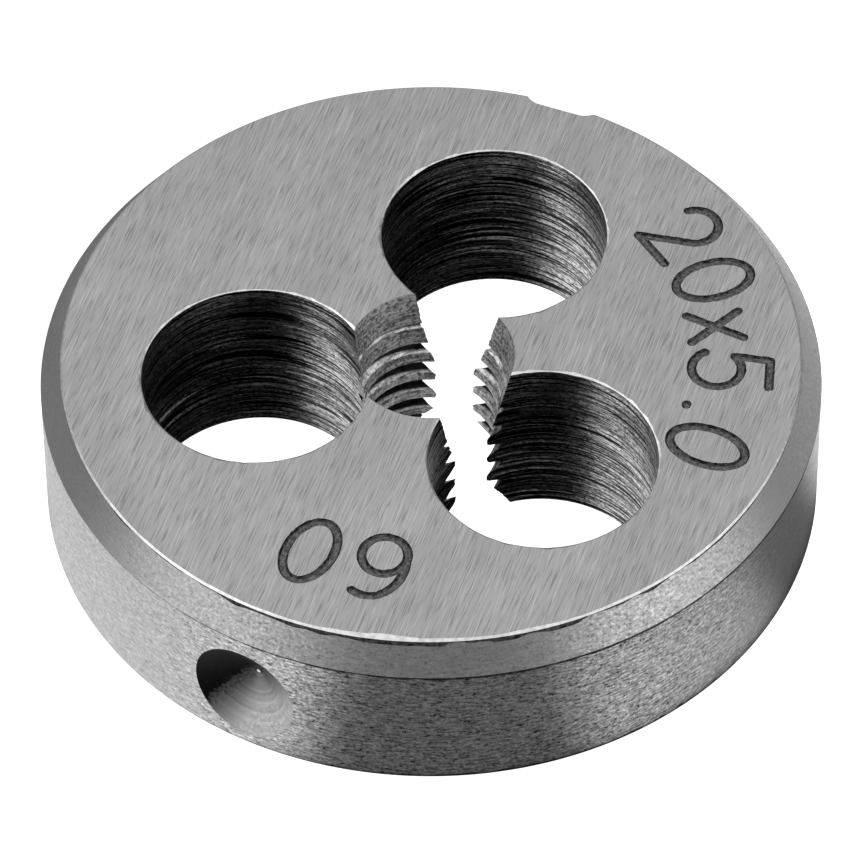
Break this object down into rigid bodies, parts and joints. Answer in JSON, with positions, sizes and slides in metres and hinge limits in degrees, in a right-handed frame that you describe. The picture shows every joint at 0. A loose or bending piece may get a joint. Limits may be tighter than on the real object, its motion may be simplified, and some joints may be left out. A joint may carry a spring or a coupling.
{
  "type": "round threading die",
  "caption": "Round die for cutting an M4 external thread: chamfered steel disc with chip holes round a tapped bore, a rim groove and a set-screw dimple.",
  "frame": {"origin": "on the thread axis, in the bottom face", "axes": "+Z along the thread axis towards the marked lead-in face, where the rod goes in; +Y through the adjusting groove in the rim"},
  "size_m": [0.02, 0.0199, 0.005],
  "materials": {
    "steel": "fine-ground faces, turned rim, no coating"
  },
  "bodies": {
    "root": {"die_body": "steel"}
  },
  "joints": []
}
